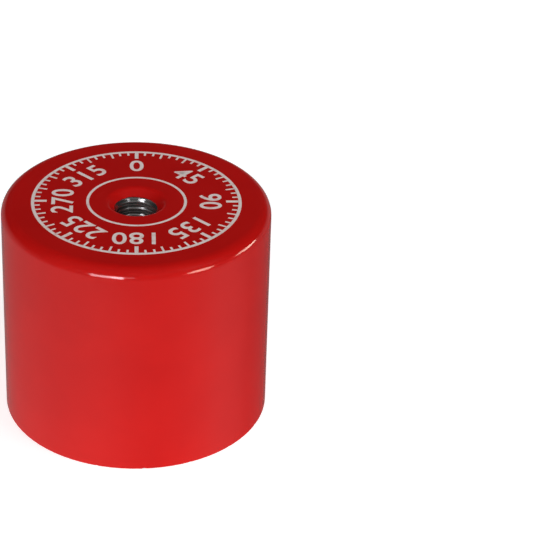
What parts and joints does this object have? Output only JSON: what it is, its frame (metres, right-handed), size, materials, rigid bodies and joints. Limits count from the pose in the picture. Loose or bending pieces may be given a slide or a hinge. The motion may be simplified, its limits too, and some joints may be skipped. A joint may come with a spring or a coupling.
{
  "type": "deep pot magnet with a tapped hole",
  "caption": "Deep pot magnet: a red enamelled steel cup round an alnico core and an aluminium sleeve, with a ground pole face and a tapped fixing hole in its closed end.",
  "frame": {"origin": "centre of the pole face, the ground face that grips steel", "axes": "+Z along the magnet's axis, from the pole face to the closed end with the tapped hole"},
  "size_m": [0.035, 0.035, 0.03],
  "materials": {
    "red_enamel": "gloss",
    "aluminium": "satin",
    "alnico": "satin"
  },
  "bodies": {
    "root": {"pot": "red_enamel", "spacer_sleeve": "aluminium", "magnet_core": "alnico"}
  },
  "joints": []
}
